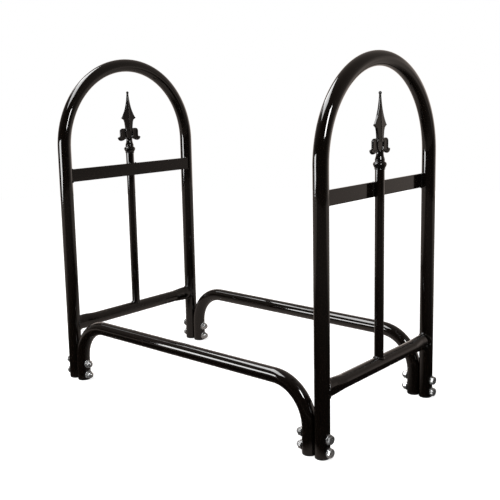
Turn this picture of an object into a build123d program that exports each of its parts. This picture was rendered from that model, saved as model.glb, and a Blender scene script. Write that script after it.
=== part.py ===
from build123d import *
import math
import os

# Firewood rack: two arched end frames joined by two base rails
# Millimetres. X runs along the log bay, Y across it, Z up from the floor.
# The origin is on the floor at the middle of the rack.

# Tube
tube_dia = 25.0
tube_wall = 1.5
tube_rad = tube_dia / 2
bore_rad = tube_rad - tube_wall

# Overall layout, between tube centres
hoop_spacing = 615.0
leg_spacing = 320.0
spring_height = 455.0
arch_rad = leg_spacing / 2
hoop_x = hoop_spacing / 2
leg_y = leg_spacing / 2

# Cross tube near the floor, pinched where it meets the hoop legs
rung_dia = 24.0
rung_height = 108.0
pinch_width = 19.5
pinch_height = 29.0
pinch_start = 108.0
pinch_end = 132.0

# Flat strap on the bay side of rod and legs
strap_high = 25.0
strap_thick = 3.0
strap_height = 403.5

# Upright rod
rod_dia = 16.0
rod_wall = 1.2
rod_rad = rod_dia / 2
rod_top = 437.5

# Base rails
rail_height = 114.0
rail_bend_rad = 70.0
rail_leg_x = hoop_x - tube_dia

# Foot plugs
plug_flange = 3.0
plug_round = 1.4
plug_insert = 3.5

# Fasteners, M8
bolt_dia = 8.0
bolt_hole_dia = 8.6
bolt_heights = (11.0, 33.0)
hex_flats = 13.0
hex_corners = hex_flats / math.cos(math.pi / 6)
head_high = 5.3
nut_hex_high = 5.8
nut_dome_rad = 6.2
nut_high = 10.8
nut_hole_deep = 8.0
hex_chamfer = 0.9
washer_thick = 1.6
washer_dia = 16.0

# Flat pressed into the round of a tube under each washer
press_deep = 0.3
press_dia = washer_dia + 0.8
seat_rad = tube_rad - press_deep

# Finial, measured up from the top of the rod
spigot_long = 10.0
ring_low = 1.0
ring_rad = 11.5
ring_mid = 7.8
groove_rad = 7.6
groove_height = 12.0
bead_rad = 8.35
bead_mid = 15.5
bead_top = 19.2
stem_rad = 6.2
stem_end = 30.0
scroll_thick = 7.0
edge_thick = 4.0
ridge_thick = 7.0
waist_half_wide = 5.6
neck_height = 52.5
neck_half_wide = 9.4
under_lug_height = 65.0
under_lug_half_wide = 11.2
lug_height = 71.2
lug_half_wide = 18.2
spear_top = 121.5
spear_top_half = 2.2
spear_steps = 6
spear_power = 2.6
ball_rad = 2.9


def tube_along(path_wire, outer_rad, inner_rad):
    """A hollow tube swept along a path that starts by going straight up."""
    start = Plane(path_wire @ 0, z_dir=path_wire % 0)
    outer = sweep(start * Circle(outer_rad), path_wire)
    inner = sweep(start * Circle(inner_rad), path_wire)
    return outer - inner


def x_cylinder(radius, x_from, x_to, y, z):
    """A solid cylinder along X between two X positions."""
    length = x_to - x_from
    return Pos((x_from + x_to) / 2, y, z) * Rot(0, 90, 0) * Cylinder(radius, length)


def leg_core(x, y):
    """The full round of an upright leg, used to shape what is fitted to it."""
    return Pos(x, y, spring_height / 2) * Cylinder(tube_rad, spring_height)


def bolt_cuts():
    """What the bolts of the right front corner take from its legs: clearance holes and flats under washers."""
    outside = hoop_x + tube_dia
    inside = rail_leg_x - tube_dia
    cuts = Part()
    for z in bolt_heights:
        cuts += x_cylinder(bolt_hole_dia / 2, inside, outside, -leg_y, z)
        cuts += x_cylinder(press_dia / 2, hoop_x + seat_rad, outside, -leg_y, z)
        cuts += x_cylinder(press_dia / 2, inside, rail_leg_x - seat_rad, -leg_y, z)
    return cuts


def flat_face(plane, outline):
    """The face inside a closed outline that is drawn in a plane."""
    return make_face([plane * edge for edge in outline])


def both_sides(part, plane):
    """A part and its mirror image, as one shape."""
    return part + mirror(part, about=plane)


def right_hoop():
    """Arched hoop with legs that end on the foot plugs."""
    foot = Vector(hoop_x, -leg_y, plug_flange)
    spring = Vector(hoop_x, -leg_y, spring_height)
    crown = Vector(hoop_x, 0, spring_height + arch_rad)
    far_spring = Vector(hoop_x, leg_y, spring_height)
    far_foot = Vector(hoop_x, leg_y, plug_flange)
    path = Wire([Line(foot, spring), ThreePointArc(spring, crown, far_spring), Line(far_spring, far_foot)])
    hoop = tube_along(path, tube_rad, bore_rad)
    return hoop - both_sides(bolt_cuts(), Plane.XZ)


def rung_body(half_wide, half_high, mid_rad):
    """Solid rung: round in the middle, flattened to an oval towards both ends."""
    middle = Rot(90, 0, 0) * Cylinder(mid_rad, 2 * pinch_start)
    round_end = Plane.XZ.offset(pinch_start) * Circle(mid_rad)
    oval = Plane.XZ.offset(pinch_end) * Ellipse(half_wide, half_high)
    taper = loft([round_end, oval])
    tip = extrude(oval, leg_y - pinch_end)
    return middle + both_sides(taper + tip, Plane.XZ)


def right_rung():
    """Cross tube between the hoop legs, its ends shaped to them."""
    outer = rung_body(pinch_width / 2, pinch_height / 2, rung_dia / 2)
    inner = rung_body(pinch_width / 2 - tube_wall, pinch_height / 2 - tube_wall, rung_dia / 2 - tube_wall)
    rung = Pos(hoop_x, 0, rung_height) * (outer - inner)
    return rung - leg_core(hoop_x, -leg_y) - leg_core(hoop_x, leg_y)


def right_strap():
    """Flat bar against the rod and the legs, on the side of the bay."""
    x = hoop_x - rod_rad - strap_thick / 2
    strap = Pos(x, 0, strap_height) * Box(strap_thick, leg_spacing - tube_rad, strap_high)
    return strap - leg_core(hoop_x, -leg_y) - leg_core(hoop_x, leg_y)


def right_rod():
    """Upright tube, shaped at its foot to stand on the rung."""
    length = rod_top - rung_height
    middle = Pos(hoop_x, 0, (rod_top + rung_height) / 2)
    rod = middle * (Cylinder(rod_rad, length) - Cylinder(rod_rad - rod_wall, length))
    seat = Pos(hoop_x, 0, rung_height) * Rot(90, 0, 0) * Cylinder(rung_dia / 2, rung_dia)
    return rod - seat


def turned_base():
    """Round lower end of the finial: spigot, ring, groove, bead and thin neck."""
    bore = rod_rad - rod_wall
    outline = [
        Line((0, -spigot_long), (bore, -spigot_long)),
        Line((bore, -spigot_long), (bore, 0)),
        Line((bore, 0), (rod_rad, 0)),
        Line((rod_rad, 0), (rod_rad, ring_low)),
        ThreePointArc((rod_rad, ring_low), (ring_rad, ring_mid), (groove_rad, groove_height)),
        ThreePointArc((groove_rad, groove_height), (bead_rad, bead_mid), (stem_rad, bead_top)),
        Line((stem_rad, bead_top), (stem_rad, stem_end)),
        Line((stem_rad, stem_end), (0, stem_end)),
        Line((0, stem_end), (0, -spigot_long)),
    ]
    return revolve(flat_face(Plane.XZ, outline), Axis.Z)


def scroll_plate():
    """The two leaves that curl outwards, as one flat casting."""
    notch = (7.0, 29.0)
    under = (14.0, 26.4)
    tip_low = (22.5, 24.2)
    tip_out = (29.0, 27.2)
    tip_high = (26.0, 31.4)
    side = (23.4, 35.0)
    shoulder = (23.2, 42.0)
    corner = (21.2, 47.0)
    crown = (15.0, 49.4)
    outline = [
        Line((0, notch[1]), notch),
        ThreePointArc(notch, under, tip_low),
        ThreePointArc(tip_low, tip_out, tip_high),
        ThreePointArc(tip_high, side, shoulder),
        ThreePointArc(shoulder, corner, crown),
        Line(crown, (0, crown[1])),
        Line((0, crown[1]), (0, notch[1])),
    ]
    half = flat_face(Plane.YZ, outline)
    return extrude(both_sides(half, Plane.XZ), scroll_thick / 2, both=True)


def blade(height, half_wide, half_edge, half_ridge):
    """Level six-cornered section of the spear, with a ridge in the middle of each face."""
    corners = [
        (half_ridge, 0),
        (half_edge, half_wide),
        (-half_edge, half_wide),
        (-half_ridge, 0),
        (-half_edge, -half_wide),
        (half_edge, -half_wide),
    ]
    return Plane.XY.offset(height) * Polygon(*corners, align=None)


def spear():
    """Flat spear with a ridge down each face, a pointed lug at each side and a ball at the tip."""
    half_edge = edge_thick / 2
    half_ridge = ridge_thick / 2
    waist = blade(stem_end, waist_half_wide, half_edge, half_ridge)
    neck = blade(neck_height, neck_half_wide, half_edge, half_ridge)
    under_lug = blade(under_lug_height, under_lug_half_wide, half_edge, half_ridge)
    lug = blade(lug_height, lug_half_wide, half_edge, half_ridge)
    lower = loft([waist, neck, under_lug, lug], ruled=True)
    steps = []
    for step in range(spear_steps + 1):
        left = 1 - step / spear_steps
        height = spear_top - left * (spear_top - lug_height)
        half_wide = spear_top_half + (lug_half_wide - spear_top_half) * left ** spear_power
        edge = spear_top_half / 2 + (half_edge - spear_top_half / 2) * left
        ridge = spear_top_half + (half_ridge - spear_top_half) * left
        steps.append(blade(height, half_wide, edge, ridge))
    upper = loft(steps, ruled=True)
    return lower + upper + Pos(0, 0, spear_top) * Sphere(ball_rad)


def right_finial():
    """Cast finial that stands in the top of the rod."""
    finial = turned_base() + scroll_plate() + spear()
    return Pos(hoop_x, 0, rod_top) * finial


def front_rail():
    """Base rail: a long run, a bend at each end and two short legs."""
    left = -rail_leg_x
    right = rail_leg_x
    drop = rail_height - rail_bend_rad
    y = -leg_y
    lift = rail_bend_rad * math.sin(math.pi / 4)
    inset = rail_bend_rad - rail_bend_rad * math.cos(math.pi / 4)
    path = Wire([
        Line((left, y, plug_flange), (left, y, drop)),
        ThreePointArc((left, y, drop), (left + inset, y, drop + lift), (left + rail_bend_rad, y, rail_height)),
        Line((left + rail_bend_rad, y, rail_height), (right - rail_bend_rad, y, rail_height)),
        ThreePointArc((right - rail_bend_rad, y, rail_height), (right - inset, y, drop + lift), (right, y, drop)),
        Line((right, y, drop), (right, y, plug_flange)),
    ])
    rail = tube_along(path, tube_rad, bore_rad)
    return rail - both_sides(bolt_cuts(), Plane.YZ)


def plug(x):
    """Foot plug of a leg of the right front corner."""
    flange = Cylinder(tube_rad, plug_flange, align=(Align.CENTER, Align.CENTER, Align.MIN))
    flange = fillet(flange.edges().sort_by(Axis.Z)[0], plug_round)
    insert = Cylinder(bore_rad, plug_flange + plug_insert, align=(Align.CENTER, Align.CENTER, Align.MIN))
    insert -= Cylinder(bore_rad, plug_round * 2, align=(Align.CENTER, Align.CENTER, Align.MIN))
    return Pos(x, -leg_y, 0) * (flange + insert)


def hex_block(high):
    """Hexagonal block, standing on Z = 0, with its upper corners turned off."""
    block = extrude(RegularPolygon(hex_corners / 2, 6), high)
    cone_top = hex_flats / 2 - hex_chamfer
    cone = Cone(cone_top + high * 2, cone_top, high, align=(Align.CENTER, Align.CENTER, Align.MIN))
    return block & cone


def along_x(part, x, z, outward):
    """Turns a part that stands on Z = 0 so that it points along X at a bolt of the right front corner."""
    return Pos(x, -leg_y, z) * Rot(0, 90 * outward, 0) * part


def bolt(z):
    """Hex bolt from the outside of the hoop leg into the cap nut."""
    head_face = hoop_x + seat_rad + washer_thick
    shank_end = rail_leg_x - seat_rad - washer_thick - nut_hole_deep
    head = along_x(hex_block(head_high), head_face, z, 1)
    return head + x_cylinder(bolt_dia / 2, shank_end, head_face, -leg_y, z)


def cap_nut(z):
    """Domed nut on the bay side of the rail leg."""
    seat = rail_leg_x - seat_rad - washer_thick
    dome_centre = nut_high - nut_dome_rad
    dome = Pos(0, 0, dome_centre) * Sphere(nut_dome_rad)
    collar = Cylinder(nut_dome_rad, dome_centre, align=(Align.CENTER, Align.CENTER, Align.MIN))
    hole = Cylinder(bolt_dia / 2, nut_hole_deep, align=(Align.CENTER, Align.CENTER, Align.MIN))
    above = Pos(0, 0, nut_high) * Box(nut_high * 2, nut_high * 2, nut_high * 2)
    nut = hex_block(nut_hex_high) + ((dome & above) + collar)
    return along_x(nut - hole, seat, z, -1)


def washer(x_from, z):
    """Flat washer of the right front corner, with its face of lower X at an X position."""
    body = x_cylinder(washer_dia / 2, x_from, x_from + washer_thick, -leg_y, z)
    return body - x_cylinder(bolt_hole_dia / 2, x_from, x_from + washer_thick, -leg_y, z)


def washers():
    """Washers under the heads and under the nuts of one corner, pressed a little into the round legs."""
    under_heads = [washer(hoop_x + seat_rad, z) for z in bolt_heights]
    under_nuts = [washer(rail_leg_x - seat_rad - washer_thick, z) for z in bolt_heights]
    return Compound(children=under_heads + under_nuts)


def save(part, name):
    """Writes one piece."""
    export_step(part, "parts/" + name + ".step")


def save_end_pair(part, name):
    """Writes a piece of the right end frame and its twin of the left one."""
    save(part, "right_" + name)
    save(mirror(part, about=Plane.YZ), "left_" + name)


def save_corners(part, name):
    """Writes a piece of the right front corner and its three twins."""
    rear = mirror(part, about=Plane.XZ)
    save(part, "right_front_" + name)
    save(rear, "right_rear_" + name)
    save(mirror(part, about=Plane.YZ), "left_front_" + name)
    save(mirror(rear, about=Plane.YZ), "left_rear_" + name)


os.makedirs("parts", exist_ok=True)

save_end_pair(right_hoop(), "hoop")
save_end_pair(right_rung(), "rung")
save_end_pair(right_strap(), "strap")
save_end_pair(right_rod(), "rod")
save_end_pair(right_finial(), "finial")

rail_part = front_rail()
save(rail_part, "front_rail")
save(mirror(rail_part, about=Plane.XZ), "rear_rail")

save_corners(plug(hoop_x), "hoop_plug")
save_corners(plug(rail_leg_x), "rail_plug")
save_corners(Compound(children=[bolt(z) for z in bolt_heights]), "bolts")
save_corners(Compound(children=[cap_nut(z) for z in bolt_heights]), "cap_nuts")
save_corners(washers(), "washers")
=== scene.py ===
# %% [markdown]
# # A firewood rack of bent black tube
# The rack is two arched end frames and two low rails, held together by bright bolts. Its tubes are right
# as the construction made them, so they stay and only get their paint. What a maker adds by hand is
# modelled here: castings, weld beads, rolled straps, fasteners and foot plugs. The first cell loads the
# fixed frame.

# %% Load the frame
import math

import bmesh
import bpy
from mathutils import Matrix, Vector
from mathutils.geometry import interpolate_bezier


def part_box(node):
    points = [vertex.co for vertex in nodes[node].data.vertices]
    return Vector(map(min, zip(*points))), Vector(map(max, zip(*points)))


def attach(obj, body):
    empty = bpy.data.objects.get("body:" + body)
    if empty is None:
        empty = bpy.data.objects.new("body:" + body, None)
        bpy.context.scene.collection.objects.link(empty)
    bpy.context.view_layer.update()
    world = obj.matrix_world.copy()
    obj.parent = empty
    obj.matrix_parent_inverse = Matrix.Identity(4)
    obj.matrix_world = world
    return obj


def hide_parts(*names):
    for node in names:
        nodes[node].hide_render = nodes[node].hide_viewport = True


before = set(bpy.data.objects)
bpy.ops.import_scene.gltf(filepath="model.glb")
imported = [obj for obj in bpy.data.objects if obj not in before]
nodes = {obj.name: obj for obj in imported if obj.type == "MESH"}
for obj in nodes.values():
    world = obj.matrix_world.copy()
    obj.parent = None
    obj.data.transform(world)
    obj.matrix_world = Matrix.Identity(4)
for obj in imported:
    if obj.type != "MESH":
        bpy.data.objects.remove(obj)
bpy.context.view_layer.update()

# %% [markdown]
# ## Measures
# Every new piece sits on a tube, so its place comes from the boxes of the tubes and never from a typed
# number. Left is -X, right is +X, front is -Y and rear is +Y. All lengths are metres, and `mm` makes
# small ones readable.

# %% Measures taken from the frame
mm = 0.001

hoop_low, hoop_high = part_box("right_hoop")
tube_rad = (hoop_high.x - hoop_low.x) / 2
hoop_x = (hoop_high.x + hoop_low.x) / 2
leg_y = hoop_high.y - tube_rad
print("tube radius", round(tube_rad, 4), "hoop at x", round(hoop_x, 4), "legs at y", round(leg_y, 4))

rail_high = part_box("front_rail")[1]
rail_leg_x = rail_high.x - tube_rad

rod_low, rod_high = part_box("right_rod")
rod_rad = (rod_high.x - rod_low.x) / 2
rod_top = rod_high.z

rung_low, rung_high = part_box("right_rung")
rung_z = (rung_high.z + rung_low.z) / 2

strap_low, strap_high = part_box("right_strap")
print("rod top", round(rod_top, 4), "rung at z", round(rung_z, 4), "strap from z", round(strap_low.z, 4))

# %% [markdown]
# ## Camera
# The picture was taken from a little above the arches, from the front right corner. A camera is described
# here as a photographer would: where it stands, how far it is turned and tipped, and its lens. The lens
# is shifted a little, because the picture is a crop from the side of a larger frame.

# %% Camera
picture_px = 500
sensor_mm = 36.0
camera_place = Vector((1.0346, -1.1289, 0.5751))
camera_turn = math.radians(37.66)
camera_tip = math.radians(9.03)
camera_roll = math.radians(0.475)
focal_px = 825.95
axis_px = (310.0, 215.0)

forward = Vector((
    -math.sin(camera_turn) * math.cos(camera_tip),
    math.cos(camera_turn) * math.cos(camera_tip),
    -math.sin(camera_tip),
))
level = forward.cross(Vector((0, 0, 1))).normalized()
right = Matrix.Rotation(camera_roll, 3, forward) @ level
up = right.cross(forward)

lens = bpy.data.cameras.new("camera")
lens.sensor_width = sensor_mm
lens.lens = sensor_mm * focal_px / picture_px
lens.shift_x = (picture_px / 2 - axis_px[0]) / picture_px
lens.shift_y = (axis_px[1] - picture_px / 2) / picture_px
camera = bpy.data.objects.new("camera", lens)
camera_axes = Matrix((right, up, -forward)).transposed().to_4x4()
camera.matrix_world = Matrix.Translation(camera_place) @ camera_axes
bpy.context.scene.collection.objects.link(camera)
bpy.context.scene.camera = camera
print("lens", round(lens.lens, 2), "mm, shift", round(lens.shift_x, 3), round(lens.shift_y, 3))

# %% [markdown]
# ## The studio
# Gloss black shows almost nothing but what it mirrors, so the lamps are placed by their reflections. A
# wide strip hangs high on the left, with a short box at its end. A low box stands left of the camera, and
# a narrow upright box stands at the right end of the rack. Each is given by the direction it is seen in
# from the rack, its distance, its size and its brightness.

# %% Lamps
aim = Vector((0, 0, 0.3))


def softbox(name, turn, rise, distance, width, height, brightness, roll=0.0):
    """A rectangular lamp. Turn goes from +Y towards +X and rise up from the horizon, both in degrees."""
    turn = math.radians(turn)
    rise = math.radians(rise)
    towards = Vector((math.sin(turn) * math.cos(rise), math.cos(turn) * math.cos(rise), math.sin(rise)))
    lamp = bpy.data.lights.new(name, "AREA")
    lamp.shape = "RECTANGLE"
    lamp.size = width
    lamp.size_y = height
    lamp.energy = brightness * math.pi * width * height
    box = bpy.data.objects.new(name, lamp)
    turned = towards.to_track_quat("Z", "Y") @ Matrix.Rotation(math.radians(roll), 3, "Z").to_quaternion()
    box.matrix_world = Matrix.Translation(aim + towards * distance) @ turned.to_matrix().to_4x4()
    bpy.context.scene.collection.objects.link(box)
    print(name, "at", [round(v, 2) for v in box.location], "power", round(lamp.energy, 1))


softbox("overhead_strip", turn=-126.9, rise=58.3, distance=1.48, width=1.45, height=0.6, brightness=5.6)
softbox("strip_end", turn=-96.5, rise=39.8, distance=1.97, width=0.25, height=0.55, brightness=2.2)
softbox("low_left_box", turn=-149.0, rise=4.9, distance=1.23, width=0.52, height=0.3, brightness=8.0,
        roll=8)
softbox("right_box", turn=114.4, rise=28.6, distance=1.14, width=0.16, height=0.35, brightness=18.0,
        roll=-6.5)

# %% [markdown]
# ## Room and floor
# The picture has a plain white ground. Rays from the camera and rays through glass meet that white. All
# other light keeps to a plain level, so that the white never comes from more light on the rack. The rack
# itself mirrors a real room, which is far from white: its walls are pale behind the rack and dark round
# the camera, and its ceiling is dim. That dark side keeps the middle of each tube deep black.


# %% Helpers for node trees
class Tree:
    """Adds shader nodes to one node tree with short calls."""

    def __init__(self, tree):
        self.tree = tree
        self.tree.nodes.clear()

    def add(self, kind, inputs=None, **settings):
        """Adds a node. Each input is a plain value or the output of another node."""
        node = self.tree.nodes.new(kind)
        for name, value in settings.items():
            setattr(node, name, value)
        for name, value in (inputs or {}).items():
            if isinstance(value, bpy.types.NodeSocket):
                self.tree.links.new(value, node.inputs[name])
            else:
                node.inputs[name].default_value = value
        return node

    def math(self, operation, first, second=0.0, clamp=False):
        """Works out one number from two."""
        node = self.add("ShaderNodeMath", {0: first, 1: second}, operation=operation, use_clamp=clamp)
        return node.outputs[0]

    def ramp(self, value, start, end, low=0.0, high=1.0):
        """Goes from low to high while the value goes from start to end, and stays level outside that."""
        node = self.add("ShaderNodeMapRange", {0: value, 1: start, 2: end, 3: low, 4: high})
        return node.outputs[0]

    def blend(self, share, first, second):
        """Goes from the first colour to the second as the share goes from 0 to 1."""
        node = self.add("ShaderNodeMix", {0: share, 6: first, 7: second}, data_type="RGBA")
        return node.outputs[2]


def grey(value):
    """A colour without tint."""
    return (value, value, value, 1.0)


# %% Levels of the room
plain_level = 0.3
warm = (1.16, 1.0, 0.9, 1.0)
to_far_wall = (-0.42, 0.91, 0.0)

wall_from = -0.6
wall_to = 1.0
wall_falloff = 3.0
wall_dark = 0.015
wall_pale = 0.8
wall_top = 0.1

ceiling_from = -0.8
ceiling_to = 0.8
ceiling_dark = 0.015
ceiling_pale = 0.18
ceiling_edge = 0.35
print("room: plain level", plain_level, "walls", wall_dark, "to", wall_pale)

# %% Room light
room = bpy.data.worlds.new("studio_room")
room.use_nodes = True
bpy.context.scene.world = room
tree = Tree(room.node_tree)
path = tree.add("ShaderNodeLightPath")
direction = tree.add("ShaderNodeTexCoord").outputs["Generated"]
rise = tree.add("ShaderNodeSeparateXYZ", {0: direction}).outputs["Z"]
toward = tree.add("ShaderNodeVectorMath", {0: direction, 1: to_far_wall}, operation="DOT_PRODUCT")
toward = toward.outputs["Value"]
wall = tree.math("POWER", tree.ramp(toward, wall_from, wall_to), wall_falloff)
wall = tree.ramp(wall, 0.0, 1.0, wall_dark, wall_pale)
ceiling = tree.ramp(toward, ceiling_from, ceiling_to, ceiling_dark, ceiling_pale)
around = tree.blend(tree.ramp(rise, ceiling_edge, wall_top), ceiling, wall)
mirrored = tree.add("ShaderNodeVectorMath", {0: around, 1: warm[:3]}, operation="MULTIPLY")
seen = tree.math("ADD", path.outputs["Is Camera Ray"], path.outputs["Is Transmission Ray"], clamp=True)
ground = tree.blend(path.outputs["Is Glossy Ray"], grey(plain_level), mirrored.outputs["Vector"])
ground = tree.blend(seen, ground, grey(1.0))
backdrop = tree.add("ShaderNodeBackground", {"Color": ground, "Strength": 1.0})
tree.add("ShaderNodeOutputWorld", {"Surface": backdrop.outputs[0]})
print("room light", len(room.node_tree.nodes), "nodes")

# %% [markdown]
# The floor is white paper. The camera sees its diffuse white, lifted a little so that it meets the white
# ground without an edge, and the shadow of the rack stays in it. In the paint it is not lit but glows with
# painted light: dark overall, with three paler patches of painted light, inside the rack on the left, far
# to the left and behind it, and a small painted pool of light round the feet at the front right corner.

# %% Floor sheet
floor_rad = 3.0

mesh = bmesh.new()
bmesh.ops.create_circle(mesh, cap_ends=True, segments=96, radius=floor_rad)
floor_data = bpy.data.meshes.new("floor")
mesh.to_mesh(floor_data)
mesh.free()
floor = bpy.data.objects.new("floor", floor_data)
bpy.context.scene.collection.objects.link(floor)
print("floor radius", floor_rad)

# %% Paper as the camera sees it
paper_white = 0.80
paper_lift = 0.75
lift_from = 0.8
lift_to = 2.0

paper = bpy.data.materials.new("floor_paper")
paper.use_nodes = True
tree = Tree(paper.node_tree)
path = tree.add("ShaderNodeLightPath")
place = tree.add("ShaderNodeTexCoord").outputs["Object"]
away = tree.add("ShaderNodeVectorMath", {0: place}, operation="LENGTH").outputs["Value"]
seen = tree.math("ADD", path.outputs["Is Camera Ray"], path.outputs["Is Transmission Ray"], clamp=True)
lift = tree.math("MULTIPLY", tree.ramp(away, lift_from, lift_to, paper_lift, 1.0), seen)
matt = tree.add("ShaderNodeBsdfDiffuse", {"Color": grey(paper_white)})
glow = tree.add("ShaderNodeEmission", {"Color": grey(1.0), "Strength": lift})
paper_seen = tree.add("ShaderNodeAddShader", {0: matt.outputs[0], 1: glow.outputs[0]})
floor_data.materials.append(paper)
print("paper white", paper_white, "lifted by", paper_lift, "near the rack")

# %% Paper as the paint mirrors it: a glow of painted light, not lit paper
dark_from = 0.5
dark_to = 1.5
near_dark = 0.01
far_dark = 0.06
painted_light_level = 0.2
inside_deep = (-0.2, -0.05)
inside_across = (0.3, 0.1)
left_across = (-0.5, -0.75)
behind_deep = (0.4, 0.9)
# The painted pool of light round the front right feet is centred between the hoop leg and the rail leg.
feet = ((hoop_x + rail_leg_x) / 2, -leg_y, 0.0)
feet_painted_light = 0.85
feet_near = 30 * mm
feet_far = 58 * mm

split = tree.add("ShaderNodeSeparateXYZ", {0: place})
across = split.outputs["X"]
deep = split.outputs["Y"]
# Patches of painted light on the mirrored paper: inside the rack on the left, and far to the left and
# behind.
inside = tree.math("MULTIPLY", tree.ramp(deep, *inside_deep), tree.ramp(across, *inside_across))
behind = tree.math("MAXIMUM", tree.ramp(across, *left_across), tree.ramp(deep, *behind_deep))
to_feet = tree.add("ShaderNodeVectorMath", {0: place, 1: feet}, operation="DISTANCE")
painted_light_round_feet = tree.ramp(to_feet.outputs["Value"], feet_near, feet_far, feet_painted_light, 0.0)
pale = tree.math("MAXIMUM", tree.math("MAXIMUM", inside, behind), painted_light_round_feet)
dark = tree.ramp(away, dark_from, dark_to, near_dark, far_dark)
level_there = tree.math("ADD", dark, tree.math("MULTIPLY", pale, painted_light_level))
# The paint mirrors this glow: the dark level plus the patches and the pool of painted light.
mirrored = tree.add("ShaderNodeEmission", {"Color": warm, "Strength": level_there})
either = tree.add("ShaderNodeMixShader", {
    0: path.outputs["Is Glossy Ray"],
    1: paper_seen.outputs[0],
    2: mirrored.outputs[0],
})
tree.add("ShaderNodeOutputMaterial", {"Surface": either.outputs[0]})
print("paler spot round the feet at", [round(v, 3) for v in feet])

# %% [markdown]
# ## Gloss black paint
# Powder paint flows out before it hardens, so it is smooth but never flat: a slight orange peel breaks up
# the edges of every reflection. The colour is a warm black. Three soft noises give the faint change of
# colour, the change of gloss and the peel.

# %% Helpers for finishes
noise_low = 0.3
noise_high = 0.7


def new_material(name):
    """A material and the helper for its nodes."""
    material = bpy.data.materials.new(name)
    material.use_nodes = True
    return material, Tree(material.node_tree)


def noise(tree, coordinates, scale, detail=2.0):
    """A cloudy pattern. Scale is roughly how many clouds there are in a metre."""
    node = tree.add("ShaderNodeTexNoise", {"Vector": coordinates, "Scale": scale, "Detail": detail})
    return node.outputs["Fac"]


def spread(tree, value, low, high):
    """Stretches the middle of a noise, where nearly all of it lies, from low to high."""
    return tree.ramp(value, noise_low, noise_high, low, high)


# %% Paint
patch_scale = 14.0
gloss_scale = 60.0
coat_roughness = 0.03


def painted(name, dark, light, gloss, peel, peel_size, coat):
    """Black paint. Gloss is the range of its roughness, peel the height of its orange peel in metres."""
    material, tree = new_material(name)
    place = tree.add("ShaderNodeTexCoord").outputs["Object"]
    patches = noise(tree, place, patch_scale, detail=3.0)
    colour = tree.blend(spread(tree, patches, 0.0, 1.0), (*dark, 1.0), (*light, 1.0))
    shine = spread(tree, noise(tree, place, gloss_scale, detail=4.0), *gloss)
    skin = noise(tree, place, 1.0 / peel_size, detail=1.5)
    bump = tree.add("ShaderNodeBump", {"Strength": 1.0, "Distance": peel, "Height": skin})
    shader = tree.add("ShaderNodeBsdfPrincipled", {
        "Base Color": colour,
        "Roughness": shine,
        "Coat Weight": coat,
        "Coat Roughness": coat_roughness,
        "Normal": bump.outputs[0],
        "Coat Normal": bump.outputs[0],
    })
    tree.add("ShaderNodeOutputMaterial", {"Surface": shader.outputs[0]})
    return material


tube_paint = painted("tube_paint_gloss", (0.0024, 0.0014, 0.0009), (0.0036, 0.0022, 0.0015), (0.05, 0.09),
                     peel=0.02 * mm, peel_size=3.0 * mm, coat=1.0)
strap_paint = painted("strap_paint_gloss", (0.0024, 0.0015, 0.001), (0.004, 0.0026, 0.0018), (0.08, 0.14),
                      peel=0.02 * mm, peel_size=2.0 * mm, coat=0.8)
casting_paint = painted("casting_paint", (0.0026, 0.0022, 0.0018), (0.0045, 0.0038, 0.0031), (0.10, 0.18),
                        peel=0.02 * mm, peel_size=3.0 * mm, coat=0.8)
print("paints", tube_paint.name, strap_paint.name, casting_paint.name)

# %% [markdown]
# ## Bright zinc and black plastic
# Zinc plate is a metal with a slightly uneven shine. The plugs in the tube ends are moulded plastic, grey
# black and less glossy than the paint beside them.

# %% Zinc plate
zinc_dull = (0.68, 0.69, 0.70, 1.0)
zinc_bright = (0.78, 0.79, 0.79, 1.0)
zinc_gloss = (0.21, 0.29)
zinc_metal = 0.9
zinc_grain = 0.01 * mm

zinc, tree = new_material("zinc_plate")
place = tree.add("ShaderNodeTexCoord").outputs["Object"]
cloud = noise(tree, place, scale=500.0, detail=3.0)
tint = tree.blend(spread(tree, cloud, 0.0, 1.0), zinc_dull, zinc_bright)
shine = spread(tree, noise(tree, place, scale=900.0, detail=4.0), *zinc_gloss)
height = noise(tree, place, scale=1500.0)
grain = tree.add("ShaderNodeBump", {"Strength": 1.0, "Distance": zinc_grain, "Height": height})
shader = tree.add("ShaderNodeBsdfPrincipled", {
    "Base Color": tint,
    "Metallic": zinc_metal,
    "Roughness": shine,
    "Normal": grain.outputs[0],
})
tree.add("ShaderNodeOutputMaterial", {"Surface": shader.outputs[0]})
print(zinc.name, "roughness", zinc_gloss)

# %% Black plastic
plastic_dark = 0.01
plastic_light = 0.02
plastic_gloss = (0.34, 0.5)
plastic_grain = 0.03 * mm

plastic, tree = new_material("plug_plastic_black")
place = tree.add("ShaderNodeTexCoord").outputs["Object"]
cloud = noise(tree, place, scale=80.0)
tint = tree.blend(spread(tree, cloud, 0.0, 1.0), grey(plastic_dark), grey(plastic_light))
shine = spread(tree, noise(tree, place, scale=500.0), *plastic_gloss)
height = noise(tree, place, scale=2500.0)
grain = tree.add("ShaderNodeBump", {"Strength": 1.0, "Distance": plastic_grain, "Height": height})
shader = tree.add("ShaderNodeBsdfPrincipled", {
    "Base Color": tint,
    "Roughness": shine,
    "Normal": grain.outputs[0],
})
tree.add("ShaderNodeOutputMaterial", {"Surface": shader.outputs[0]})
print(plastic.name, "roughness", plastic_gloss)

# %% Finishes of the frame's own nodes
finishes = {
    "hoop": tube_paint,
    "rail": tube_paint,
    "rung": tube_paint,
    "rod": tube_paint,
    "strap": strap_paint,
    "finial": casting_paint,
    "plug": plastic,
    "bolts": zinc,
    "nuts": zinc,
    "washers": zinc,
}
for name, node in nodes.items():
    for material_slot in node.material_slots:
        material_slot.material = finishes[name.split("_")[-1]]
print("finished", len(nodes), "nodes")

# %% [markdown]
# ## Turning shapes into pieces
# A piece starts as a bmesh. It becomes an object at the origin that rides on the rack and takes a finish.
# Where shapes were cast or welded into one, they are fused: a voxel remesh wraps one skin round all of
# them, and a little smoothing rounds its inner corners as sand or molten metal would.


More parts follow.
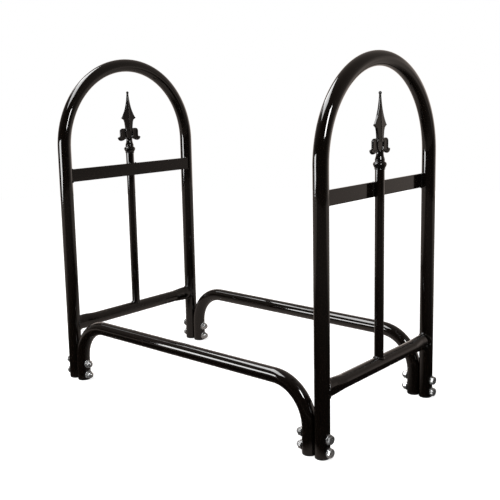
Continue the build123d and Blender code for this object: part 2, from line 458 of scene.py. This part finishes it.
# %% From a bmesh to a piece
def dress(name, mesh, material, replaced=(), flats=False):
    """Makes a piece of a bmesh and ties it to the rack. Flats keeps its large faces truly flat."""
    bmesh.ops.recalc_face_normals(mesh, faces=mesh.faces)
    for face in mesh.faces:
        face.smooth = True
    data = bpy.data.meshes.new(name)
    mesh.to_mesh(data)
    mesh.free()
    data.materials.append(material)
    piece = bpy.data.objects.new(name, data)
    bpy.context.scene.collection.objects.link(piece)
    if flats:
        piece.modifiers.new("flats", "WEIGHTED_NORMAL")
    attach(piece, "root")
    if replaced:
        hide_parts(*replaced)
    print(name, len(data.polygons), "faces")


# %% Fusing, copying and adding
def fused(mesh, voxel, rounds):
    """One smooth skin round everything in a bmesh."""
    bmesh.ops.recalc_face_normals(mesh, faces=mesh.faces)
    data = bpy.data.meshes.new("fused")
    mesh.to_mesh(data)
    mesh.free()
    block = bpy.data.objects.new("fused", data)
    bpy.context.scene.collection.objects.link(block)
    remesh = block.modifiers.new("skin", "REMESH")
    remesh.mode = "VOXEL"
    remesh.voxel_size = voxel
    graph = bpy.context.evaluated_depsgraph_get()
    skin = block.evaluated_get(graph).to_mesh()
    result = bmesh.new()
    result.from_mesh(skin)
    bpy.data.objects.remove(block)
    bpy.data.meshes.remove(data)
    for _ in range(rounds):
        bmesh.ops.smooth_vert(result, verts=result.verts, factor=0.5, use_axis_x=True, use_axis_y=True,
                              use_axis_z=True)
    return result


def copied(mesh, matrix):
    """A copy of a bmesh, moved, turned or mirrored by a matrix."""
    twin = mesh.copy()
    bmesh.ops.transform(twin, matrix=matrix, verts=twin.verts)
    return twin


def add(mesh, shape, matrix=Matrix.Identity(4)):
    """Adds a copy of a shape to a bmesh, placed by a matrix."""
    data = bpy.data.meshes.new("shape")
    shape.to_mesh(data)
    data.transform(matrix)
    mesh.from_mesh(data)
    bpy.data.meshes.remove(data)


# %% [markdown]
# ## Straps
# Each strap is a flat bar that was rolled, so its long edges are slightly round. A cube with bevelled
# edges gives that, and the round edges catch a thin line of light. The bar runs a little into the legs,
# where the weld holds it.

# %% Straps
strap_edge_rad = 0.7 * mm


def strap(side):
    """A bar that fills the box of one strap."""
    low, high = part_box(side + "_strap")
    mesh = bmesh.new()
    bmesh.ops.create_cube(mesh, size=1.0)
    bmesh.ops.scale(mesh, vec=high - low, verts=mesh.verts)
    bmesh.ops.translate(mesh, vec=(low + high) / 2, verts=mesh.verts)
    bmesh.ops.bevel(mesh, geom=mesh.edges, offset=strap_edge_rad, segments=4, profile=0.5, affect="EDGES",
                    material=-1)
    dress(side + "_strap_bar", mesh, strap_paint, [side + "_strap"], flats=True)


for side in ("left", "right"):
    strap(side)

# %% [markdown]
# ## Weld beads
# A welder lays a row of small puddles that overlap, and the paint goes over them. So each bead here is a
# row of small balls along the seam, fused into one skin, which leaves the ripples that make a weld look
# like one. No two puddles are quite alike: size and place change a little from ball to ball.

# %% Beads along a seam
import random

chance = random.Random(11)
puddle_step = 0.28
puddle_size = (0.93, 1.07)
puddle_shift = (-0.06, 0.06)


def bead(mesh, seam, rad):
    """Puddles along a closed or open row of points on the seam."""
    for point in seam:
        size = rad * chance.uniform(*puddle_size)
        shift = Vector([chance.uniform(*puddle_shift) * rad for _ in range(3)])
        place = Matrix.Translation(Vector(point) + shift)
        bmesh.ops.create_icosphere(mesh, subdivisions=2, radius=size, matrix=place)


def stations(length, rad):
    """How many puddles a seam of a given length takes."""
    return max(3, round(length / (rad * 2 * puddle_step)))


def along(start, end, rad):
    """Points along a straight seam."""
    start = Vector(start)
    end = Vector(end)
    count = stations((end - start).length, rad)
    return [start.lerp(end, step / (count - 1)) for step in range(count)]


# %% Seams round the rung
leg_bead = 2.1 * mm
oval_half_wide = (rung_high.x - rung_low.x) / 2
oval_half_high = (rung_high.z - rung_low.z) / 2


def leg_seam(way):
    """The saddle line where the flattened end of the rung meets a leg."""
    count = stations(math.pi * (oval_half_high + oval_half_wide), leg_bead)
    seam = []
    for step in range(count):
        angle = math.tau * step / count
        x = oval_half_wide * math.cos(angle)
        z = oval_half_high * math.sin(angle)
        seam.append((hoop_x + x, way * (leg_y - math.sqrt(tube_rad ** 2 - x ** 2)), rung_z + z))
    return seam


# %% Seams at both ends of the rod
rod_bead = 2.3 * mm
tip_bead = 1.2 * mm
rung_mid_rad = 12.0 * mm


def rod_seam():
    """The line where the rod stands on the rung."""
    count = stations(math.tau * rod_rad, rod_bead)
    seam = []
    for step in range(count):
        angle = math.tau * step / count
        x = rod_rad * math.cos(angle)
        y = rod_rad * math.sin(angle)
        seam.append((hoop_x + x, y, rung_z + math.sqrt(rung_mid_rad ** 2 - x ** 2)))
    return seam


def rod_top_seam():
    """The ring where the casting is welded to the top of the rod."""
    count = stations(math.tau * rod_rad, tip_bead)
    angles = [math.tau * step / count for step in range(count)]
    return [(hoop_x + rod_rad * math.cos(angle), rod_rad * math.sin(angle), rod_top) for angle in angles]


# %% Seams of the strap
strap_bead = 2.0 * mm
tack_bead = 2.7 * mm
tack_y = rod_rad * 0.85


def strap_seams(mesh):
    """Seams down and under both ends of the strap, and upright tacks on both sides of the rod."""
    low = strap_low
    high = strap_high
    reach = hoop_x - high.x
    end_y = leg_y - math.sqrt(tube_rad ** 2 - reach ** 2)
    for way in (-1, 1):
        top = (high.x, way * end_y, high.z - strap_bead * 0.5)
        bottom = (high.x, way * end_y, low.z)
        inner = (low.x, way * (end_y + strap_bead), low.z)
        bead(mesh, along(top, bottom, strap_bead), strap_bead)
        bead(mesh, along(bottom, inner, strap_bead), strap_bead)
        upper = (high.x, way * tack_y, high.z - tack_bead * 0.5)
        lower = (high.x, way * tack_y, low.z + tack_bead)
        bead(mesh, along(upper, lower, tack_bead), tack_bead)


# %% Welds of both end frames
mirror_x = Matrix.Scale(-1, 4, (1, 0, 0))

mesh = bmesh.new()
bead(mesh, leg_seam(-1), leg_bead)
bead(mesh, leg_seam(1), leg_bead)
bead(mesh, rod_seam(), rod_bead)
strap_seams(mesh)
bead(mesh, rod_top_seam(), tip_bead)
welds = fused(mesh, voxel=0.5 * mm, rounds=2)
left_welds = copied(welds, mirror_x)
dress("right_welds", welds, casting_paint)
dress("left_welds", left_welds, casting_paint)

# %% [markdown]
# ## Finials: the turned foot
# The finial is one casting. Its round foot has a wide ring, a groove, a bead and a thin neck, and was
# turned on a lathe for the pattern. A spin of half its outline does the same. Heights are counted from
# the top of the rod. A spin leaves many points on top of each other where the outline meets the axis, so
# they are merged, which closes the shape.


# %% Arcs and spins
def bow(start, middle, end, steps=8):
    """Points on the arc through three points of an outline, without its first point."""
    ax, az = start
    bx, bz = middle
    cx, cz = end
    twice = 2 * (ax * (bz - cz) + bx * (cz - az) + cx * (az - bz))
    a2 = ax ** 2 + az ** 2
    b2 = bx ** 2 + bz ** 2
    c2 = cx ** 2 + cz ** 2
    centre = Vector((
        (a2 * (bz - cz) + b2 * (cz - az) + c2 * (az - bz)) / twice,
        (a2 * (cx - bx) + b2 * (ax - cx) + c2 * (bx - ax)) / twice,
    ))
    first = Vector(start) - centre
    whole = first.angle_signed(Vector(end) - centre)
    half = first.angle_signed(Vector(middle) - centre)
    if whole * half < 0:
        whole -= math.copysign(math.tau, whole)
    angles = [-whole * step / steps for step in range(1, steps + 1)]
    return [tuple(centre + Matrix.Rotation(angle, 2) @ first) for angle in angles]


pole_gap = 0.001 * mm


def turned(mesh, outline, steps=48):
    """Spins an outline of (radius, height) points round the upright axis and closes it at its poles."""
    verts = [mesh.verts.new((radius, 0, height)) for radius, height in outline]
    edges = [mesh.edges.new(pair) for pair in zip(verts, verts[1:])]
    bmesh.ops.spin(mesh, geom=verts + edges, cent=(0, 0, 0), axis=(0, 0, 1), angle=math.tau, steps=steps,
                   use_merge=True)
    poles = [vert for vert in mesh.verts if vert.co.xy.length < pole_gap]
    bmesh.ops.remove_doubles(mesh, verts=poles, dist=pole_gap)


# %% Outline of the foot
foot_rad = rod_rad * 0.98
ring = (11.5 * mm, 8.0 * mm)
groove = (7.8 * mm, 11.9 * mm)
knob = (8.35 * mm, 15.5 * mm)
neck = (6.8 * mm, 20.5 * mm)

foot_outline = [(0.0, -2 * mm), (foot_rad, -2 * mm), (foot_rad, 0.4 * mm)]
foot_outline += bow(foot_outline[-1], (10.5 * mm, 4.8 * mm), ring)
foot_outline += bow(ring, (10.2 * mm, 10.6 * mm), groove)
foot_outline += bow(groove, (8.15 * mm, 13.4 * mm), knob)
foot_outline += bow(knob, (7.6 * mm, 18.2 * mm), neck)
foot_outline += [(6.2 * mm, 25 * mm), (6.2 * mm, 30 * mm), (0.0, 30 * mm)]
print("foot outline", len(foot_outline), "points")

# %% [markdown]
# ## Finials: the leaves
# Three leaves are seen from each side: one curls to the front, one to the rear, and one lies flat in the
# middle of the face. The outer two are a thin web with a raised rim and a thick rolled lip like a small
# boat, and the middle one is an arched rim that stands out on both faces. A rim is easiest to draw as a
# curve whose thickness changes from point to point, and a web as an extruded outline.


# %% Rims
def rolled(mesh, points):
    """A round rim. Each point is (x, y, z, radius) in millimetres, and both ends are closed by balls."""
    curve = bpy.data.curves.new("rim", "CURVE")
    curve.dimensions = "3D"
    curve.bevel_depth = 1.0
    curve.bevel_resolution = 4
    spline = curve.splines.new("NURBS")
    spline.points.add(len(points) - 1)
    for point, (x, y, z, rad) in zip(spline.points, points):
        point.co = (x * mm, y * mm, z * mm, 1.0)
        point.radius = rad * mm
    spline.order_u = 3
    spline.use_endpoint_u = True
    holder = bpy.data.objects.new("rim", curve)
    data = bpy.data.meshes.new_from_object(holder)
    mesh.from_mesh(data)
    bpy.data.objects.remove(holder)
    bpy.data.curves.remove(curve)
    bpy.data.meshes.remove(data)
    for x, y, z, rad in (points[0], points[-1]):
        bmesh.ops.create_uvsphere(mesh, u_segments=16, v_segments=10, radius=rad * mm,
                                  matrix=Matrix.Translation((x * mm, y * mm, z * mm)))


# %% Webs
web_thick = 2.0 * mm


def web(mesh, way):
    """The thin web of the leaf to the front or to the rear."""
    shoulder = (21.8 * mm, 41.0 * mm)
    outline = [(0.0, 49.0 * mm), (9.0 * mm, 49.0 * mm), (14.0 * mm, 48.4 * mm)]
    outline += bow(outline[-1], (19.6 * mm, 46.0 * mm), shoulder, steps=5)
    outline += bow(shoulder, (22.2 * mm, 34.6 * mm), (25.8 * mm, 30.6 * mm), steps=5)
    outline += [(19.5 * mm, 27.8 * mm), (12.5 * mm, 29.6 * mm), (6.0 * mm, 31.0 * mm)]
    outline += [(5.0 * mm, 26.0 * mm), (0.0, 26.0 * mm)]
    face = mesh.faces.new([mesh.verts.new((-web_thick / 2, way * y, z)) for y, z in outline])
    made = bmesh.ops.extrude_face_region(mesh, geom=[face])
    moved = [item for item in made["geom"] if isinstance(item, bmesh.types.BMVert)]
    bmesh.ops.translate(mesh, vec=(web_thick, 0, 0), verts=moved)


# %% Leaves: points of each rim, as place along Y, height and radius in millimetres
rim_line = (
    (5.0, 48.0, 1.7),
    (14.0, 48.4, 2.0),
    (21.5, 47.6, 2.3),
    (21.5, 40.0, 2.3),
    (21.2, 31.5, 2.2),
    (26.9, 30.4, 2.3),
)
lip_line = (
    (6.5, 31.4, 1.4),
    (13.0, 28.8, 2.4),
    (19.5, 27.6, 3.2),
    (24.8, 27.8, 3.0),
    (27.2, 30.6, 2.3),
)
middle_line = (
    (-4.6, 28.0, 1.5),
    (-9.0, 34.0, 1.7),
    (-9.6, 48.5, 1.9),
    (0.0, 51.0, 2.0),
    (9.6, 48.5, 1.9),
    (9.0, 34.0, 1.7),
    (4.6, 28.0, 1.5),
)
middle_lift = 1.4


def leaves(mesh):
    """The outer leaves to the front and to the rear, and the middle leaf of each face."""
    for way in (-1, 1):
        web(mesh, way)
        rolled(mesh, [(0.0, way * y, z, rad) for y, z, rad in rim_line])
        rolled(mesh, [(0.0, way * y, z, rad) for y, z, rad in lip_line])
        rolled(mesh, [(way * middle_lift, y, z, rad) for y, z, rad in middle_line])


# %% [markdown]
# ## Finials: the spear
# The spear is a flat blade with a narrow rib down each face, a flat along each edge and a pointed lug at
# each side. It is lofted: rings with fourteen corners are set at the heights where the outline changes,
# and bridged one by one. It stays out of the fusing, which would blur its facets. Its outer corners are
# chamfered in the rings, and all long edges are bevelled a little.

# %% Rings of the spear
rib_half = 1.3
rib_share = 0.35
rib_high = 0.8
facet_slope = 0.045
corner_cut = 0.55


def blade_ring(mesh, height, wide, edge):
    """A level ring from half the width of the blade and half its thickness at the edge, in millimetres."""
    rib = min(rib_half, wide * rib_share)
    low = edge + (wide - rib) * facet_slope
    ridge = low + rib_high * rib / rib_half
    cut = min(corner_cut, edge / 2, (wide - rib) / 2)
    corners = [(ridge, 0), (low, rib), (edge, wide - cut), (edge - cut, wide)]
    corners += [(cut - edge, wide), (-edge, wide - cut), (-low, rib)]
    corners += [(-x, -y) for x, y in corners]
    verts = [mesh.verts.new((x * mm, y * mm, height * mm)) for x, y in corners]
    return [mesh.edges.new(pair) for pair in zip(verts, verts[1:] + verts[:1])]


# %% Loft
spear_edge_rad = 0.2 * mm
sharp_angle = math.radians(14)


def loft(rings):
    """Bridges rings from the lowest to the highest, closes both ends and bevels the long edges."""
    mesh = bmesh.new()
    loops = [blade_ring(mesh, *ring) for ring in rings]
    for lower, upper in zip(loops, loops[1:]):
        bmesh.ops.bridge_loops(mesh, edges=lower + upper)
    bmesh.ops.contextual_create(mesh, geom=loops[0])
    bmesh.ops.contextual_create(mesh, geom=loops[-1])
    bmesh.ops.recalc_face_normals(mesh, faces=mesh.faces)
    sharp = [edge for edge in mesh.edges if edge.calc_face_angle(0.0) > sharp_angle]
    bmesh.ops.bevel(mesh, geom=sharp, offset=spear_edge_rad, segments=2, profile=0.5, affect="EDGES",
                    material=-1)
    return mesh


# %% Outline of the spear: height, half width and half thickness at the edge, in millimetres
shaft = (
    (44.0, 7.8, 2.6),
    (54.0, 8.8, 2.5),
    (62.0, 10.0, 2.4),
    (67.0, 11.8, 2.3),
    (69.5, 13.2, 2.1),
)
lug = (
    (66.0, 10.8, 1.8),
    (68.8, 14.4, 2.3),
    (71.2, 18.4, 1.9),
)
taper_start = (73.0, 16.0)
taper_steps = 20
taper_handles = ((89.0, 6.1), (103.5, 3.5))
taper_end = (121.5, 1.8)
edge_at_start = 2.0
edge_at_end = 1.3


def taper():
    """Rings along the hollow curve in which the blade runs out to its tip."""
    bends = [Vector((*point, 0.0)) for point in (taper_start, *taper_handles, taper_end)]
    rings = []
    for point in interpolate_bezier(*bends, taper_steps):
        share = (point.x - taper_start[0]) / (taper_end[0] - taper_start[0])
        rings.append((point.x, point.y, edge_at_start + (edge_at_end - edge_at_start) * share))
    return rings


# %% Ball at the tip
ball_rad = 2.75 * mm
ball_height = 122.5 * mm


def ball():
    """The small ball that ends the spear."""
    mesh = bmesh.new()
    bmesh.ops.create_uvsphere(mesh, u_segments=24, v_segments=16, radius=ball_rad,
                              matrix=Matrix.Translation((0, 0, ball_height)))
    return mesh


# %% Both finials
def right_finial():
    """The whole casting, on top of the rod of the right end frame."""
    mesh = bmesh.new()
    turned(mesh, foot_outline)
    leaves(mesh)
    mesh = fused(mesh, voxel=0.4 * mm, rounds=3)
    for shape in (loft(shaft), loft([*lug, *taper()]), ball()):
        bmesh.ops.recalc_face_normals(shape, faces=shape.faces)
        add(mesh, shape)
        shape.free()
    bmesh.ops.translate(mesh, vec=(hoop_x, 0, rod_top), verts=mesh.verts)
    return mesh


casting = right_finial()
left_casting = copied(casting, mirror_x)
dress("right_finial_casting", casting, casting_paint, ["right_finial"], flats=True)
dress("left_finial_casting", left_casting, casting_paint, ["left_finial"], flats=True)

# %% [markdown]
# ## Bolts, nuts and washers
# A hexagon head is stamped and its corners are then turned off, so it is what a hexagonal bar and a
# turned blank share. A boolean does just that. Cap nuts get a dome on top. Each kind is made once,
# standing on z = 0, then laid along X and placed at every bolt, turned by its own angle as a spanner left
# it.

# %% Hexagons with turned corners
hex_flats = 13.0 * mm
hex_corner_rad = hex_flats / 2 / math.cos(math.pi / 6)
hex_edge_rad = 0.12 * mm


def turned_bar(high, outline):
    """What a hexagonal bar and a turned blank have in common."""
    bar = bmesh.new()
    bottom = bmesh.ops.create_circle(bar, cap_ends=True, segments=6, radius=hex_corner_rad)
    made = bmesh.ops.extrude_face_region(bar, geom=list(bottom["verts"][0].link_faces))
    top = [item for item in made["geom"] if isinstance(item, bmesh.types.BMVert)]
    bmesh.ops.translate(bar, vec=(0, 0, high), verts=top)
    blank = bmesh.new()
    turned(blank, outline, steps=72)
    objects = []
    for mesh in (bar, blank):
        bmesh.ops.recalc_face_normals(mesh, faces=mesh.faces)
        data = bpy.data.meshes.new("blank")
        mesh.to_mesh(data)
        mesh.free()
        objects.append(bpy.data.objects.new("blank", data))
        bpy.context.scene.collection.objects.link(objects[-1])
    cut = objects[0].modifiers.new("shared", "BOOLEAN")
    cut.operation = "INTERSECT"
    cut.object = objects[1]
    round_off = objects[0].modifiers.new("round_off", "BEVEL")
    round_off.width = hex_edge_rad
    round_off.segments = 2
    round_off.limit_method = "ANGLE"
    graph = bpy.context.evaluated_depsgraph_get()
    result = bmesh.new()
    result.from_mesh(objects[0].evaluated_get(graph).to_mesh())
    for item in objects:
        bpy.data.objects.remove(item)
    return result


# %% Bolt head
head_high = 5.3 * mm
blank_rad = hex_corner_rad * 1.1
face_rad = hex_flats / 2 * 0.93
chamfer = (blank_rad - face_rad) * math.tan(math.radians(30))
stamp_deep = 0.25 * mm
stamp_rim = face_rad * 0.7
stamp_floor = face_rad * 0.6

head = turned_bar(head_high, [
    (0.0, 0.0),
    (blank_rad, 0.0),
    (blank_rad, head_high - chamfer),
    (face_rad, head_high),
    (stamp_rim, head_high),
    (stamp_floor, head_high - stamp_deep),
    (0.0, head_high - stamp_deep),
])
print("bolt head", len(head.faces), "faces")

# %% Cap nut
nut_hex_high = 5.8 * mm
nut_high = 10.8 * mm
dome_rad = 5.9 * mm
dome_root = nut_hex_high - 0.6 * mm
dome_root_rad = dome_rad * 0.97
dome_centre = nut_high - dome_rad
dome_shoulder = (dome_rad, dome_centre)
dome_lean = 0.8
dome_middle = (dome_rad * math.sin(dome_lean), dome_centre + dome_rad * math.cos(dome_lean))

nut = turned_bar(nut_hex_high, [
    (0.0, 0.0),
    (blank_rad, 0.0),
    (blank_rad, nut_hex_high - chamfer),
    (face_rad, nut_hex_high),
    (0.0, nut_hex_high),
])
dome = [(0.0, dome_root), (dome_root_rad, dome_root), dome_shoulder]
dome += bow(dome_shoulder, dome_middle, (0.0, nut_high))
turned(nut, dome)
print("cap nut", len(nut.faces), "faces")

# %% Washer
washer_low, washer_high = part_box("right_front_washers")
washer_rad = 8.0 * mm
washer_thick = 1.6 * mm
washer_edge_rad = 0.3 * mm


def washer():
    """A flat stamped washer, round on the edge that faces out."""
    edge = washer_edge_rad
    mesh = bmesh.new()
    turned(mesh, [(0.0, 0.0), (washer_rad, 0.0), (washer_rad, washer_thick - edge),
                  (washer_rad - edge * 0.3, washer_thick - edge * 0.3), (washer_rad - edge, washer_thick),
                  (0.0, washer_thick)])
    return mesh


flat_washer = washer()
print("washer", len(flat_washer.faces), "faces")

# %% Fasteners in their places
press_deep = hoop_x + tube_rad + washer_thick - washer_high.x
bolt_heights = (washer_low.z + washer_rad, washer_high.z - washer_rad)
spanner_turns = (8, 9, 22, 51, 4, 44, 13, 12)
on_washer = Matrix.Translation((0, 0, washer_thick))
print("bolts at heights", [round(v, 4) for v in bolt_heights], "pressed in by", round(press_deep, 5))


def corner(side, end, first_turn):
    """Bolts, cap nuts and washers of one corner of the rack."""
    x_way = -1 if side == "left" else 1
    y_way = -1 if end == "front" else 1
    name = side + "_" + end
    outward = Matrix.Rotation(math.pi / 2 * x_way, 4, "Y")
    inward = Matrix.Rotation(-math.pi / 2 * x_way, 4, "Y")
    made = {"bolts": bmesh.new(), "cap_nuts": bmesh.new(), "washers": bmesh.new()}
    outer = hoop_x + tube_rad - press_deep
    inner = rail_leg_x - tube_rad + press_deep
    for number, height in enumerate(bolt_heights):
        degrees = spanner_turns[(first_turn + number * 3) % len(spanner_turns)]
        turn = Matrix.Rotation(math.radians(degrees), 4, "Z")
        out_place = Matrix.Translation((x_way * outer, y_way * leg_y, height)) @ outward @ turn
        in_place = Matrix.Translation((x_way * inner, y_way * leg_y, height)) @ inward @ turn
        add(made["bolts"], head, out_place @ on_washer)
        add(made["cap_nuts"], nut, in_place @ on_washer)
        add(made["washers"], flat_washer, out_place)
        add(made["washers"], flat_washer, in_place)
    for kind, mesh in made.items():
        node = name + "_" + kind
        dress(node + "_bright", mesh, zinc, [node], flats=True)


corners = (("left", "front"), ("left", "rear"), ("right", "front"), ("right", "rear"))
for number, (side, end) in enumerate(corners):
    corner(side, end, number * 2)

# %% [markdown]
# ## Foot plugs
# Every leg ends in a moulded plug with a rounded lower edge, a shallow dish below and a small mark where
# the mould was filled. One outline is spun and placed under all eight legs.

# %% Outline of a plug
plug_high = 3.0 * mm
plug_rad = tube_rad - 0.15 * mm
plug_round = 1.4 * mm
plug_edge = 0.3 * mm
dish_rad = 7.5 * mm
dish_deep = 0.8 * mm
gate_rad = 1.3 * mm
gate_deep = dish_deep * 0.5
round_middle = (plug_rad - plug_round * 0.3, plug_round * 0.3)

plug_outline = [(0.0, gate_deep), (gate_rad, gate_deep), (gate_rad * 1.2, dish_deep)]
plug_outline += [(dish_rad - dish_deep, dish_deep), (dish_rad, 0.0), (plug_rad - plug_round, 0.0)]
plug_outline += bow(plug_outline[-1], round_middle, (plug_rad, plug_round), steps=5)
plug_outline += [(plug_rad, plug_high - plug_edge), (plug_rad - plug_edge, plug_high), (0.0, plug_high)]
print("plug radius", round(plug_rad, 5), "outline", len(plug_outline), "points")

# %% Foot plugs
for side, x_way in (("left", -1), ("right", 1)):
    for end, y_way in (("front", -1), ("rear", 1)):
        for kind, x in (("hoop_plug", hoop_x), ("rail_plug", rail_leg_x)):
            name = side + "_" + end + "_" + kind
            mesh = bmesh.new()
            turned(mesh, plug_outline)
            bmesh.ops.translate(mesh, vec=(x_way * x, y_way * leg_y, 0), verts=mesh.verts)
            dress(name + "_moulded", mesh, plastic, [name], flats=True)

# %% [markdown]
# ## Colours
# The colours are shown as they are.

# %% Finish
bpy.context.scene.view_settings.view_transform = "Standard"
